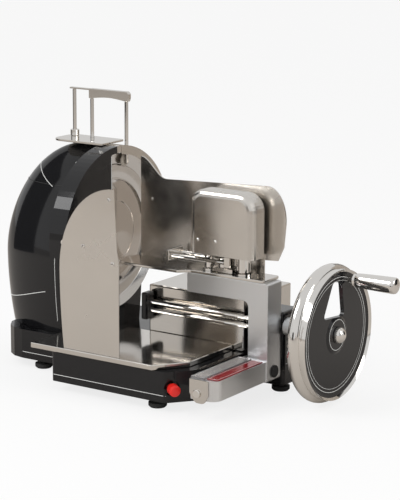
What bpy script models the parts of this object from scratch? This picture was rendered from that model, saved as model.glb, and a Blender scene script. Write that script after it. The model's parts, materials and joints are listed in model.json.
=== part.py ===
# Flywheel meat slicer, as separate solids. Metres, +Z up, +X towards the flywheel, +Y away from the operator.
# Machine coordinates start at the left front foot. An empty moves the whole machine so that
# the middle of its footprint is at the origin.
import math

import bmesh
import bpy
from mathutils import Matrix, Vector

GAP = 0.0003            # clearance between pieces that touch
RUNNING = 0.0006        # clearance between pieces that slide or turn
ROUND = 40              # facets of a large turned piece
SMALL_ROUND = 20        # facets of a small turned piece

# Feet and base casting
FOOT_HEIGHT = 0.018
FOOT_RADIUS = 0.017
BASE_LEFT, BASE_RIGHT = -0.096, 0.408
BASE_FRONT, BASE_BACK = -0.112, 0.262
BASE_TOP = 0.075
BASE_SIDE_FRONT = -0.022        # front of the wide left part, under the housing
BLOCK_LEFT = 0.108              # left end of the block that carries the tray
CHAMFER_START = 0.364
CHAMFER_END_X, CHAMFER_END_Y = 0.402, -0.064
BASE_ROOF = 0.006               # plate left above the hollow underside
KNOB_ALONG = 0.22               # place of the red knob along the chamfer
KNOB_RADIUS, KNOB_LENGTH = 0.0105, 0.024
KNOB_RECESS_RADIUS, KNOB_RECESS_DEPTH = 0.0145, 0.010
KNOB_HEIGHT = 0.045
KNOB_TRAVEL = 0.006
KNOB_STEM_RADIUS, KNOB_STEM_DEPTH = 0.006, 0.022

# Receiving tray
TRAY_TOP = 0.085
TRAY_LEFT, TRAY_RIGHT = 0.063, 0.381
TRAY_FRONT, TRAY_BACK = -0.117, 0.0815
TRAY_CHAMFER_X, TRAY_CHAMFER_Y = 0.339, -0.059

# Blade, its shaft and its covers
BLADE_X, BLADE_Y, BLADE_Z = 0.121, 0.062, 0.271
BLADE_RADIUS = 0.150
BLADE_THICKNESS = 0.0055
BEVEL_WIDTH = 0.020
COVER_RADIUS = 0.100
COVER_DEPTH = 0.007
HUB_RADIUS = 0.030
SHAFT_RADIUS = 0.012
BEARING_RADIUS, BEARING_LENGTH = 0.034, 0.010
BLADE_GUARD_GAP = 0.003         # between the blade's edge and the hood
HOOD_WALL = 0.013
HOOD_INNER = BLADE_RADIUS + BLADE_GUARD_GAP
HOOD_OUTER = HOOD_INNER + HOOD_WALL
HOOD_FLANGE = 0.006
HOOD_RIGHT = 0.137
HOOD_EDGE_Y = 0.040             # the upright edge of the hood, beside the blade's centre
HOOD_LOW_Z = 0.250
HOOD_TOP_ANGLE, HOOD_LOW_ANGLE = 92.0, 188.0
RING_END_ANGLE = 4.0            # where the polished ring ends behind the blade
RING_GAP_ANGLE = 0.15
RING_LIP = 0.004

# Housing: an egg-shaped casting with a domed cover on its left
HOUSING_RIGHT = 0.100
SEAM_X = 0.050
DOME_REACH = 0.182
HOUSING_MID_Y = 0.085
HOUSING_HALF_DEPTH = 0.101
HOUSING_BELLY_Z = 0.215
HOUSING_TOP = 0.4335
HOUSING_POINT = 1.5             # exponent that draws the upper outline in
BELLY_TAPER = 0.10
SHELL_WALL, CASTING_WALL = 0.006, 0.009
TOP_SHARE = 0.9985              # the outline stops just short of its point
DOME_POINT = 1.9
PLAN_POINT = 0.86
REACH_TAPER = 0.07

# Slice guard plate in front of the blade
GUARD_Y = -0.112
GUARD_THICKNESS = 0.0016
GUARD_LEFT, GUARD_RIGHT = 0.138, 0.264
GUARD_TOP = 0.392
GUARD_BELLY_Z = 0.235
GUARD_BELLY = 0.008

# Sharpener on the crown
SHARPENER_Y = 0.095
SEAT_LEFT, SEAT_RIGHT = -0.010, 0.112
SEAT_FRONT, SEAT_BACK = 0.042, 0.112
SEAT_THICKNESS = 0.004
POST_RADIUS = 0.0036
POST_X = (0.007, 0.049, 0.130)
POST_TOP = 0.5355
LINK_DROP = 0.004
POST_BELOW = 0.035
BAR_HEIGHT, BAR_DEPTH = 0.019, 0.009
LINK_THICKNESS = 0.003
SHARPENER_TRAVEL = 0.020
COLLAR_RADIUS, COLLAR_HEIGHT = 0.0085, 0.012
STONE_RADIUS, STONE_LENGTH = 0.012, 0.003

# Drive cover behind the tray
DRIVE_LEFT, DRIVE_RIGHT = 0.190, 0.404
DRIVE_FRONT, DRIVE_BACK = 0.084, 0.250
DRIVE_TOP = 0.175
DRIVE_WALL = 0.003

# Carriage: a cast frame of box, leg and beam
BOX_LEFT, BOX_RIGHT = 0.421, 0.478
BOX_BOTTOM, BOX_TOP = 0.036, 0.0753
BOX_FRONT = -0.116
LEG_LEFT = 0.436
BEAM_LEFT = 0.302
BEAM_FRONT, BEAM_BACK = 0.048, 0.094
BEAM_BOTTOM, BEAM_TOP = 0.183, 0.219
CORNER_RADIUS = 0.012
RAIL_WIDTH, RAIL_HEIGHT = 0.006, 0.014
RAIL_Z = 0.052
TONGUE_FRONT, TONGUE_BACK = -0.050, 0.090
ROD_Y, ROD_RADIUS = 0.068, 0.0042
ROD_HEIGHTS = (0.146, 0.130)
ROD_LEFT = 0.205
ROD_BLOCK_WIDTH = 0.014
LABEL_THICKNESS = 0.0015
LABEL_LEFT, LABEL_FRONT, LABEL_BACK = 0.4505, -0.106, 0.040
WINDOW_LEFT, WINDOW_RIGHT = 0.4215, 0.4495
WINDOW_BOTTOM, WINDOW_THICKNESS = 0.0756, 0.004
WINDOW_FRONT, WINDOW_BACK = -0.114, 0.040
LATCH_LEFT, LATCH_RIGHT = 0.4215, 0.4605
LATCH_BOTTOM, LATCH_THICKNESS = 0.033, 0.0018
SCREW_HEAD = 0.004
PLUG_RADIUS, PLUG_DEPTH = 0.0115, 0.003

# Meat table and fence on the beam
TABLE_THICKNESS = 0.005
TABLE_LEFT, TABLE_RIGHT = 0.150, 0.468
TABLE_FRONT = 0.032
FENCE_THICKNESS = 0.003
FENCE_Y = 0.104
FENCE_LEFT, FENCE_RIGHT = 0.157, 0.479
FENCE_TOP = 0.376
FENCE_PEAK = 0.414
FENCE_SHOULDER_X = 0.215

# Meat clamp that slides along the beam
CLAMP_LEFT, CLAMP_RIGHT = 0.307, 0.445
CLAMP_FRONT, CLAMP_BACK = 0.046, 0.094
CLAMP_BOTTOM, CLAMP_TOP = 0.258, 0.377
CLAMP_CORNER = 0.034
CLAMP_EDGE = 0.012
CLAMP_WALL = 0.007
COLUMN_Y = 0.070
COLUMN_X = (0.336, 0.411)
COLUMN_RADII = (0.0085, 0.0135)
COLUMN_TOP = 0.345
PRONG_RADIUS = 0.0035
PRONG_LEFT = 0.262
PRONG_Z = 0.2455
SHOE_HEIGHT = 0.009

# Flywheel, its shaft, bearing column and thickness dial
WHEEL_FACE = 0.593
WHEEL_Y, WHEEL_Z = 0.106, 0.131
WHEEL_RADIUS = 0.127
WHEEL_DISC_RADIUS = 0.119
WHEEL_RIM_DEPTH = 0.040
WHEEL_DISC_THICKNESS = 0.010
WHEEL_HUB_RADIUS = 0.015
WHEEL_SHAFT_RADIUS = 0.008
WHEEL_SHAFT_LEFT = 0.235
WHEEL_WINDOW = ((-0.047, 0.036), (0.028, 0.030), (0.017, 0.094), (-0.014, 0.099))
COLUMN_BLOCK_RIGHT = 0.483
COLUMN_BLOCK_FRONT, COLUMN_BLOCK_BACK = 0.0955, 0.156
SHAFT_BEARING_RADIUS = 0.017
GEAR_LEFT, GEAR_WIDTH = 0.300, 0.012
INNER_BEARING_LEFT, INNER_BEARING_WIDTH = 0.252, 0.016
BEARING_WALL = 0.003
CUT_PAST = 0.012                # how far a cutter reaches past the piece
DISC_SETBACK = 0.004            # the disc's face behind the rim's face
COLUMN_BLOCK_TOP = 0.158
HANDLE_DY, HANDLE_DZ = 0.040, 0.095
HANDLE_LENGTH = 0.092
HANDLE_RADIUS = 0.015
PIN_RADIUS = 0.005

MIDDLE_X = (SEAM_X - DOME_REACH + WHEEL_FACE + HANDLE_LENGTH) / 2
MIDDLE_Y = (BOX_FRONT - GAP - LATCH_THICKNESS - SCREW_HEAD + BASE_BACK) / 2

for old in list(bpy.data.objects):
    bpy.data.objects.remove(old)

machine = bpy.data.objects.new("machine", None)
machine.location = (-MIDDLE_X, -MIDDLE_Y, 0)
bpy.context.scene.collection.objects.link(machine)


def material(name, colour, roughness, metallic, alpha=1.0):
    made = bpy.data.materials.new(name)
    made.use_nodes = True
    shader = made.node_tree.nodes["Principled BSDF"]
    shader.inputs["Base Color"].default_value = (*colour, 1)
    shader.inputs["Roughness"].default_value = roughness
    shader.inputs["Metallic"].default_value = metallic
    shader.inputs["Alpha"].default_value = alpha
    return made


BLACK = material("gloss_black", (0.012, 0.012, 0.013), 0.12, 0.0)
STEEL = material("polished_steel", (0.72, 0.70, 0.67), 0.08, 1.0)
CAST = material("satin_aluminium", (0.80, 0.81, 0.82), 0.32, 1.0)
CHROME = material("chrome", (0.86, 0.85, 0.83), 0.05, 1.0)
BLADE_STEEL = material("blade_steel", (0.76, 0.76, 0.76), 0.14, 1.0)
RED = material("red_plastic", (0.80, 0.02, 0.015), 0.30, 0.0)
LABEL_RED = material("red_enamel", (0.36, 0.01, 0.02), 0.25, 0.0)
CLEAR = material("clear_plastic", (0.85, 0.82, 0.80), 0.10, 0.0, 0.35)
RUBBER = material("black_rubber", (0.03, 0.03, 0.03), 0.70, 0.0)
STONE = material("grinding_stone", (0.45, 0.40, 0.34), 0.80, 0.0)


def finish(name, mesh, surface, sharp_degrees=32.0):
    """Turns a bmesh into a named object of the machine, shaded smooth up to a crease angle."""
    bmesh.ops.recalc_face_normals(mesh, faces=mesh.faces)
    data = bpy.data.meshes.new(name)
    mesh.to_mesh(data)
    mesh.free()
    data.shade_smooth()
    data.set_sharp_from_angle(angle=math.radians(sharp_degrees))
    data.materials.append(surface)
    made = bpy.data.objects.new(name, data)
    bpy.context.scene.collection.objects.link(made)
    made.parent = machine
    return made


def set_origin(made, point):
    """Puts the object's origin on its joint's axis and leaves its shape in place."""
    made.data.transform(Matrix.Translation(-Vector(point)))
    made.location = point


AXIS_ORDER = {"x": (1, 2, 0), "y": (2, 0, 1), "z": (0, 1, 2)}


def point_on(axis, first, second, along):
    """A point whose outline coordinates are first and second. Outlines are (y, z), (z, x) or (x, y)."""
    place = [0.0, 0.0, 0.0]
    a, b, c = AXIS_ORDER[axis]
    place[a], place[b], place[c] = first, second, along
    return Vector(place)


def prism_mesh(axis, outline, low, high):
    mesh = bmesh.new()
    rings = [[mesh.verts.new(point_on(axis, a, b, h)) for a, b in outline] for h in (low, high)]
    count = len(outline)
    for i in range(count):
        j = (i + 1) % count
        mesh.faces.new((rings[0][i], rings[0][j], rings[1][j], rings[1][i]))
    mesh.faces.new(rings[0][::-1])
    mesh.faces.new(rings[1])
    bmesh.ops.recalc_face_normals(mesh, faces=mesh.faces)
    return mesh


def prism(name, axis, outline, low, high, surface, bevel=0.0, segments=2):
    mesh = prism_mesh(axis, outline, low, high)
    if bevel:
        bmesh.ops.bevel(mesh, geom=list(mesh.edges), offset=bevel, segments=segments,
                        profile=0.5, affect="EDGES", clamp_overlap=True)
    return finish(name, mesh, surface)


def rectangle(a0, a1, b0, b1):
    return [(a0, b0), (a1, b0), (a1, b1), (a0, b1)]


def rounded(outline, radii, steps=4):
    """Replaces each corner of a convex or concave outline by an arc of its own radius."""
    result = []
    count = len(outline)
    for i, corner in enumerate(outline):
        radius = radii[i] if isinstance(radii, (list, tuple)) else radii
        here = Vector(corner)
        before = (Vector(outline[i - 1]) - here).normalized()
        after = (Vector(outline[(i + 1) % count]) - here).normalized()
        if radius <= 0:
            result.append(tuple(here))
            continue
        half = math.acos(max(-1.0, min(1.0, before.dot(after)))) / 2
        reach = radius / math.tan(half)
        centre = here + (before + after).normalized() * (radius / math.sin(half))
        start = here + before * reach - centre
        end = here + after * reach - centre
        turn = start.angle_signed(end)
        for k in range(steps + 1):
            swing = Matrix.Rotation(-turn * k / steps, 2)
            result.append(tuple(centre + swing @ start))
    return result


def box(name, x, y, z, surface, bevel=0.0015, segments=2):
    return prism(name, "z", rectangle(x[0], x[1], y[0], y[1]), z[0], z[1], surface, bevel, segments)


def turned_mesh(axis, centre, profile, steps):
    """Revolves a closed profile of (along, radius) points about a line parallel to an axis."""
    mesh = bmesh.new()
    rings = []
    for along, radius in profile:
        if radius < 1e-6:
            rings.append([mesh.verts.new(point_on(axis, centre[0], centre[1], along))])
            continue
        ring = []
        for k in range(steps):
            angle = 2 * math.pi * k / steps
            ring.append(mesh.verts.new(point_on(axis, centre[0] + radius * math.cos(angle),
                                                centre[1] + radius * math.sin(angle), along)))
        rings.append(ring)
    for lower, upper in zip(rings, rings[1:] + rings[:1]):
        if len(lower) == 1 and len(upper) == 1:
            continue
        for k in range(steps):
            n = (k + 1) % steps
            corners = [lower[k % len(lower)], lower[n % len(lower)],
                       upper[n % len(upper)], upper[k % len(upper)]]
            unique = list(dict.fromkeys(corners))
            mesh.faces.new(unique)
    bmesh.ops.recalc_face_normals(mesh, faces=mesh.faces)
    return mesh


def turned(name, axis, centre, profile, surface, steps=ROUND):
    return finish(name, turned_mesh(axis, centre, profile, steps), surface)


def rod_profile(low, high, radius, edge=0.0008):
    return [(low, 0), (low, radius - edge), (low + edge, radius),
            (high - edge, radius), (high, radius - edge), (high, 0)]


def tube_profile(low, high, inner, outer, edge=0.0008):
    return [(low, inner), (low, outer - edge), (low + edge, outer),
            (high - edge, outer), (high, outer - edge), (high, inner)]


def helper(name, mesh):
    """A cutter: hidden from renders and drawn as wire."""
    data = bpy.data.meshes.new(name)
    mesh.to_mesh(data)
    mesh.free()
    made = bpy.data.objects.new(name, data)
    bpy.context.scene.collection.objects.link(made)
    made.parent = machine
    made.hide_render = True
    made.display_type = "WIRE"
    return made


def boolean(target, tool, operation="DIFFERENCE"):
    step = target.modifiers.new(tool.name, "BOOLEAN")
    step.object = tool
    step.operation = operation
    step.solver = "EXACT"


def bore(target, axis, centre, low, high, radius, steps=SMALL_ROUND):
    mesh = turned_mesh(axis, centre, [(low, 0), (low, radius), (high, radius), (high, 0)], steps)
    boolean(target, helper(target.name + "_bore", mesh))


def arc(centre, radius, start, end, steps):
    return [(centre[0] + radius * math.cos(math.radians(start + (end - start) * k / steps)),
             centre[1] + radius * math.sin(math.radians(start + (end - start) * k / steps)))
            for k in range(steps + 1)]


def flipped(outline):
    """An (x, z) outline as the (z, x) pairs that a prism along Y takes."""
    return [(z, x) for x, z in outline]


# Feet: rubber pads with a short steel stud, one under each corner of the base
def feet():
    places = {"foot_left": (0.0, 0.0), "foot_front": (0.330, -0.085),
              "foot_right": (0.456, 0.132), "foot_back_left": (-0.060, 0.225),
              "foot_back_right": (0.370, 0.225)}
    for name, centre in places.items():
        profile = [(0, 0), (0, FOOT_RADIUS - 0.003), (0.003, FOOT_RADIUS), (0.009, FOOT_RADIUS),
                   (0.012, FOOT_RADIUS * 0.6), (FOOT_HEIGHT - GAP, FOOT_RADIUS * 0.6),
                   (FOOT_HEIGHT - GAP, 0)]
        turned(name, "z", centre, profile, RUBBER, SMALL_ROUND)


def base():
    outline = [(BLOCK_LEFT, BASE_FRONT), (CHAMFER_START, BASE_FRONT), (CHAMFER_END_X, CHAMFER_END_Y),
               (BASE_RIGHT, CHAMFER_END_Y + 0.02), (BASE_RIGHT, BASE_BACK), (BASE_LEFT, BASE_BACK),
               (BASE_LEFT, BASE_SIDE_FRONT), (BLOCK_LEFT, BASE_SIDE_FRONT)]
    radii = [0.006, 0.010, 0.008, 0.003, 0.030, 0.050, 0.060, 0.006]
    made = prism("base_casting", "z", rounded(outline, radii), FOOT_HEIGHT, BASE_TOP, BLACK, 0.002, 1)
    groove = prism_mesh("y", [(RAIL_Z - RAIL_HEIGHT / 2 - RUNNING, BASE_RIGHT - RAIL_WIDTH - RUNNING),
                              (RAIL_Z + RAIL_HEIGHT / 2 + RUNNING, BASE_RIGHT - RAIL_WIDTH - RUNNING),
                              (RAIL_Z + RAIL_HEIGHT / 2 + RUNNING, BASE_RIGHT + 0.02),
                              (RAIL_Z - RAIL_HEIGHT / 2 - RUNNING, BASE_RIGHT + 0.02)],
                        -0.2, TONGUE_BACK + 0.03)
    boolean(made, helper("slideway_groove", groove))
    inside_left, inside_front = BLOCK_LEFT + 0.010, BASE_SIDE_FRONT + 0.044
    inside_right, step_right = BASE_RIGHT - 0.023, CHAMFER_START - 0.064
    under = [(BASE_LEFT + 0.030, inside_front), (inside_left, inside_front),
             (inside_left, BASE_FRONT + 0.010), (step_right, BASE_FRONT + 0.010),
             (step_right, BASE_FRONT + 0.067), (inside_right, BASE_FRONT + 0.067),
             (inside_right, BASE_BACK - 0.067), (step_right, BASE_BACK - 0.067),
             (step_right, BASE_BACK - 0.012), (inside_left, BASE_BACK - 0.012),
             (inside_left, BASE_BACK - 0.062), (BASE_LEFT + 0.030, BASE_BACK - 0.062)]
    boolean(made, helper("base_underside", prism_mesh("z", under, 0.0, BASE_TOP - BASE_ROOF)))
    knob_centre, outward = knob_place()
    recess = turned_mesh("z", (0, 0), [
        (-KNOB_STEM_DEPTH, 0), (-KNOB_STEM_DEPTH, KNOB_STEM_RADIUS + GAP),
        (-KNOB_RECESS_DEPTH, KNOB_STEM_RADIUS + GAP),
        (-KNOB_RECESS_DEPTH, KNOB_RECESS_RADIUS), (0.02, KNOB_RECESS_RADIUS), (0.02, 0)], SMALL_ROUND)
    recess.transform(Matrix.Translation(knob_centre) @ outward.to_track_quat("Z", "Y").to_matrix().to_4x4())
    boolean(made, helper("knob_recess", recess))


def knob_place():
    """Centre of the knob on the chamfer face and the face's outward direction."""
    start = Vector((CHAMFER_START, BASE_FRONT, KNOB_HEIGHT))
    end = Vector((CHAMFER_END_X, CHAMFER_END_Y, KNOB_HEIGHT))
    along = (end - start).normalized()
    return start.lerp(end, KNOB_ALONG), Vector((along.y, -along.x, 0))


def red_knob():
    centre, outward = knob_place()
    inner = -KNOB_STEM_DEPTH + KNOB_TRAVEL + 2 * GAP
    mesh = turned_mesh("z", (0, 0), [(inner, 0), (inner, KNOB_STEM_RADIUS), (0.004, KNOB_STEM_RADIUS),
                                     (0.005, KNOB_RADIUS),
                                     (KNOB_LENGTH - 0.004, KNOB_RADIUS),
                                     (KNOB_LENGTH - 0.001, KNOB_RADIUS - 0.003),
                                     (KNOB_LENGTH, KNOB_RADIUS - 0.007), (KNOB_LENGTH, 0)], SMALL_ROUND)
    mesh.transform(Matrix.Translation(centre) @ outward.to_track_quat("Z", "Y").to_matrix().to_4x4())
    set_origin(finish("lock_knob", mesh, RED), centre)


def tray():
    outline = [(TRAY_LEFT, TRAY_FRONT), (TRAY_CHAMFER_X, TRAY_FRONT), (TRAY_RIGHT, TRAY_CHAMFER_Y),
               (TRAY_RIGHT, TRAY_BACK), (HOUSING_RIGHT + 0.045, TRAY_BACK),
               (HOUSING_RIGHT + 0.045, BASE_SIDE_FRONT - 0.004), (TRAY_LEFT, BASE_SIDE_FRONT - 0.004)]
    low = BASE_TOP + GAP
    prism("receiving_tray", "z", outline, low, TRAY_TOP, STEEL, 0.0012, 1)


def housing_width(z):
    """Share of the full depth at a height: full at the belly, drawn in above, slightly in below."""
    if z > HOUSING_BELLY_Z:
        rise = (z - HOUSING_BELLY_Z) / (HOUSING_TOP - HOUSING_BELLY_Z)
        return max(0.0, 1 - rise ** HOUSING_POINT) ** (1 / HOUSING_POINT)
    drop = (HOUSING_BELLY_Z - z) / (HOUSING_BELLY_Z - BASE_TOP)
    return 1 - BELLY_TAPER * drop ** 2


def dome_share(z):
    """Share of the dome's full reach at a height."""
    if z > HOUSING_BELLY_Z:
        rise = (z - HOUSING_BELLY_Z) / (HOUSING_TOP - HOUSING_BELLY_Z)
        return math.sqrt(max(0.0, 1 - rise ** DOME_POINT))
    drop = (HOUSING_BELLY_Z - z) / (HOUSING_BELLY_Z - BASE_TOP)
    return 1 - REACH_TAPER * drop ** 2


def housing_heights(steps_low, steps_high):
    low = [BASE_TOP + GAP + (HOUSING_BELLY_Z - BASE_TOP - GAP) * k / steps_low for k in range(steps_low)]
    high = []
    for k in range(steps_high + 1):
        swing = math.sin(math.pi / 2 * k / steps_high)
        high.append(HOUSING_BELLY_Z + (HOUSING_TOP - HOUSING_BELLY_Z) * swing * TOP_SHARE)
    return low + high


def loft(name, rings, surface):
    mesh = bmesh.new()
    made = [[mesh.verts.new(p) for p in ring] for ring in rings]
    count = len(rings[0])
    for lower, upper in zip(made, made[1:]):
        for i in range(count):
            j = (i + 1) % count
            mesh.faces.new((lower[i], lower[j], upper[j], upper[i]))
    mesh.faces.new(made[0][::-1])
    mesh.faces.new(made[-1])
    return finish(name, mesh, surface, 40)


def housing():
    outline = []
    heights = housing_heights(6, 16)
    for side in (-1, 1):
        points = [(HOUSING_MID_Y + side * HOUSING_HALF_DEPTH * housing_width(z), z) for z in heights]
        outline += points if side < 0 else points[::-1]
    made = prism("housing_casting", "x", outline, SEAM_X + GAP, HOUSING_RIGHT, BLACK, 0.0, 1)
    inner = []
    top = HOUSING_TOP - 4 * CASTING_WALL
    depths = [BASE_TOP - 0.02] + [BASE_TOP + (top - BASE_TOP) * k / 10 for k in range(1, 11)]
    for side in (-1, 1):
        points = [(HOUSING_MID_Y + side * (HOUSING_HALF_DEPTH * housing_width(z) - CASTING_WALL), z)
                  for z in depths]
        inner += points if side < 0 else points[::-1]
    boolean(made, helper("housing_hollow", prism_mesh("x", inner, SEAM_X + CASTING_WALL,
                                                      HOUSING_RIGHT - CASTING_WALL)))
    bore(made, "x", (BLADE_Y, BLADE_Z), SEAM_X + 0.020, HOUSING_RIGHT + 0.01, SHAFT_RADIUS + GAP)
    bore_posts(made)


def dome_hollow():
    """The space inside the cover, open below and towards the housing."""
    top = HOUSING_TOP - 4 * SHELL_WALL
    levels = [BASE_TOP - 0.02] + [BASE_TOP + (top - BASE_TOP) * k / 12 for k in range(1, 13)]
    mesh = bmesh.new()
    rows = []
    for z in levels:
        depth = HOUSING_HALF_DEPTH * housing_width(z) - SHELL_WALL
        reach = DOME_REACH * dome_share(z) - SHELL_WALL
        row = [(SEAM_X + 0.02, HOUSING_MID_Y - depth, z)]
        for k in range(13):
            angle = math.pi * k / 12
            row.append((SEAM_X - reach * math.sin(angle), HOUSING_MID_Y - depth * math.cos(angle), z))
        row.append((SEAM_X + 0.02, HOUSING_MID_Y + depth, z))
        rows.append([mesh.verts.new(p) for p in row])
    count = len(rows[0])
    for lower, upper in zip(rows, rows[1:]):
        for i in range(count):
            j = (i + 1) % count
            mesh.faces.new((lower[i], lower[j], upper[j], upper[i]))
    mesh.faces.new(rows[0][::-1])
    mesh.faces.new(rows[-1])
    bmesh.ops.recalc_face_normals(mesh, faces=mesh.faces)
    return mesh


def dome():
    rings = []
    for z in housing_heights(6, 16):
        depth = HOUSING_HALF_DEPTH * housing_width(z)
        reach = DOME_REACH * dome_share(z)
        ring = []
        for k in range(21):
            angle = math.pi * k / 20
            across = math.copysign(abs(math.cos(angle)) ** PLAN_POINT, math.cos(angle))
            out = math.sin(angle) ** PLAN_POINT
            ring.append((SEAM_X - reach * out, HOUSING_MID_Y - depth * across, z))
        rings.append(ring)
    made = loft("drive_side_cover", rings, BLACK)
    boolean(made, helper("cover_hollow", dome_hollow()))
    bore_posts(made)


def bore_posts(target):
    """Holes for the sharpener's posts, where this piece lies under one."""
    for k, x in enumerate(POST_X):
        inside_dome = target.name == "drive_side_cover" and x < SEAM_X - POST_RADIUS
        inside_casting = target.name == "housing_casting" and SEAM_X + POST_RADIUS < x < HOUSING_RIGHT
        inside_shell = (target.name == "blade_ring" and x > HOUSING_RIGHT) or (
            target.name == "sharpener_seat" and x < SEAT_RIGHT)
        edge_case = abs(x - SEAM_X) <= POST_RADIUS + 0.001 and target.name in (
            "drive_side_cover", "housing_casting")
        if inside_dome or inside_casting or inside_shell or edge_case:
            mesh = turned_mesh("z", (x, SHARPENER_Y),
                               [(HOUSING_TOP - POST_BELOW - SHARPENER_TRAVEL - 0.004, 0),
                                (HOUSING_TOP - POST_BELOW - SHARPENER_TRAVEL - 0.004, POST_RADIUS + RUNNING),
                                (POST_TOP, POST_RADIUS + RUNNING), (POST_TOP, 0)], 12)
            boolean(target, helper(f"{target.name}_post_hole_{k}", mesh))


def blade():
    back = BLADE_X - BLADE_THICKNESS
    profile = [(back - 0.012, SHAFT_RADIUS + GAP), (back - 0.012, HUB_RADIUS), (back, HUB_RADIUS),
               (back, BLADE_RADIUS - 0.004), (BLADE_X + 0.0005, BLADE_RADIUS),
               (BLADE_X, BLADE_RADIUS - 0.0008), (BLADE_X - 0.0025, BLADE_RADIUS - BEVEL_WIDTH),
               (BLADE_X - 0.0015, COVER_RADIUS), (BLADE_X - 0.0015, SHAFT_RADIUS + GAP)]
    made = turned("blade", "x", (BLADE_Y, BLADE_Z), profile, BLADE_STEEL, 64)
    set_origin(made, (BLADE_X, BLADE_Y, BLADE_Z))
    face = BLADE_X - 0.0015 + GAP
    cover = [(face, 0), (face, COVER_RADIUS), (face + 0.003, COVER_RADIUS),
             (face + COVER_DEPTH, COVER_RADIUS - 0.014), (face + COVER_DEPTH, 0)]
    set_origin(turned("blade_cover", "x", (BLADE_Y, BLADE_Z), cover, STEEL, 48), (BLADE_X, BLADE_Y, BLADE_Z))
    shaft = rod_profile(SEAM_X + 0.014, face - GAP, SHAFT_RADIUS)
    set_origin(turned("blade_shaft", "x", (BLADE_Y, BLADE_Z), shaft, STEEL, SMALL_ROUND),
               (BLADE_X, BLADE_Y, BLADE_Z))
    flange_low = HOUSING_RIGHT + GAP
    bearing_right = min(HOUSING_RIGHT + BEARING_LENGTH, back - 0.012 - RUNNING)
    bearing = tube_profile(flange_low, bearing_right, SHAFT_RADIUS + GAP, BEARING_RADIUS)
    turned("blade_bearing", "x", (BLADE_Y, BLADE_Z), bearing, CAST, SMALL_ROUND)


def hood():
    """Black quadrant over the front of the blade, with an upright edge beside the blade's centre."""
    centre = (BLADE_Y, BLADE_Z)
    top, low = HOOD_TOP_ANGLE, HOOD_LOW_ANGLE
    band = arc(centre, HOOD_OUTER, top, low, 24) + arc(centre, HOOD_INNER, low, top, 24)
    made = prism("blade_hood", "x", band, HOUSING_RIGHT + GAP, HOOD_RIGHT, BLACK)
    flange_radius = HOOD_INNER + 0.004
    edge_angle = math.degrees(math.acos((HOOD_EDGE_Y - BLADE_Y) / flange_radius))
    flange = arc(centre, flange_radius, edge_angle, low, 20)
    flange += [(flange[-1][0], HOOD_LOW_Z), (BLADE_Y - 0.065, HOOD_LOW_Z), (HOOD_EDGE_Y, 0.352)]
    plate = prism_mesh("x", flange, HOOD_RIGHT - HOOD_FLANGE + 0.0007, HOOD_RIGHT - 0.0007)
    boolean(made, helper("hood_flange", plate), "UNION")
    bore_posts(made)


def blade_ring():
    """Polished ring over the back half of the blade, with a raised lip on its right."""
    centre = (BLADE_Y, BLADE_Z)
    top, end = HOOD_TOP_ANGLE - RING_GAP_ANGLE, RING_END_ANGLE
    band = arc(centre, HOOD_OUTER, end, top, 24) + arc(centre, HOOD_INNER, top, end, 24)
    made = prism("blade_ring", "x", band, HOUSING_RIGHT + GAP, HOOD_RIGHT - 0.001, STEEL)
    lip = arc(centre, HOOD_OUTER - 0.001, end + 1, top - 5, 22)
    lip += arc(centre, HOOD_INNER - RING_LIP, top - 5, end + 1, 22)
    boolean(made, helper("ring_lip", prism_mesh("x", lip, HOOD_RIGHT - 0.0045, HOOD_RIGHT)), "UNION")
    bore_posts(made)


def sharpener_plate():
    """Polished seat of the sharpener on top of the housing."""
    low = BLADE_Z + HOOD_OUTER + GAP
    outline = rectangle(SEAT_LEFT, SEAT_RIGHT, SEAT_FRONT, SEAT_BACK)
    made = prism("sharpener_seat", "z", rounded(outline, [0.022, 0.004, 0.004, 0.022], 6),
                 low, low + SEAT_THICKNESS, STEEL, 0.0010, 1)
    bore_posts(made)


def guard_left(z):
    """The guard plate's bulging left edge."""
    if z <= GUARD_BELLY_Z:
        share = (GUARD_BELLY_Z - z) / (GUARD_BELLY_Z - TRAY_TOP)
        return GUARD_LEFT - GUARD_BELLY * (1 - share ** 2)
    rise = (z - GUARD_BELLY_Z) / (GUARD_TOP - GUARD_BELLY_Z)
    width = GUARD_RIGHT - 0.010 - (GUARD_LEFT - GUARD_BELLY)
    return GUARD_RIGHT - 0.010 - width * math.sqrt(max(0.0, 1 - rise ** 2))


def guard():
    low = TRAY_TOP + GAP
    left = []
    for k in range(9):
        left.append((guard_left(low + (GUARD_BELLY_Z - low) * k / 8), low + (GUARD_BELLY_Z - low) * k / 8))
    for k in range(1, 19):
        z = GUARD_BELLY_Z + (GUARD_TOP - GUARD_BELLY_Z) * math.sin(math.pi / 2 * k / 18)
        left.append((guard_left(z), z))
    outline = left + [(GUARD_RIGHT - 0.004, HOOD_LOW_Z + 0.03), (GUARD_RIGHT, HOOD_LOW_Z + 0.01),
                      (GUARD_RIGHT, low)]
    prism("slice_guard", "y", flipped(outline), GUARD_Y, GUARD_Y + GUARD_THICKNESS, STEEL)
    hood_face = BLADE_Y - HOOD_OUTER
    turned("guard_stud", "y", (0.282, GUARD_LEFT - 0.001),
           rod_profile(GUARD_Y + GUARD_THICKNESS + GAP, hood_face - GAP, 0.006), CHROME, 12)
    for name, x, z in (("guard_screw_left", 0.184, 0.282), ("guard_screw_right", 0.250, 0.257),
                       ("guard_screw_top", 0.243, 0.372)):
        head = [(GUARD_Y - GAP, 0), (GUARD_Y - GAP, 0.0042), (GUARD_Y - GAP - 0.0012, 0.0036),
                (GUARD_Y - GAP - 0.0018, 0)]
        turned(name, "y", (z, x), head, CHROME, 16)


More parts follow.
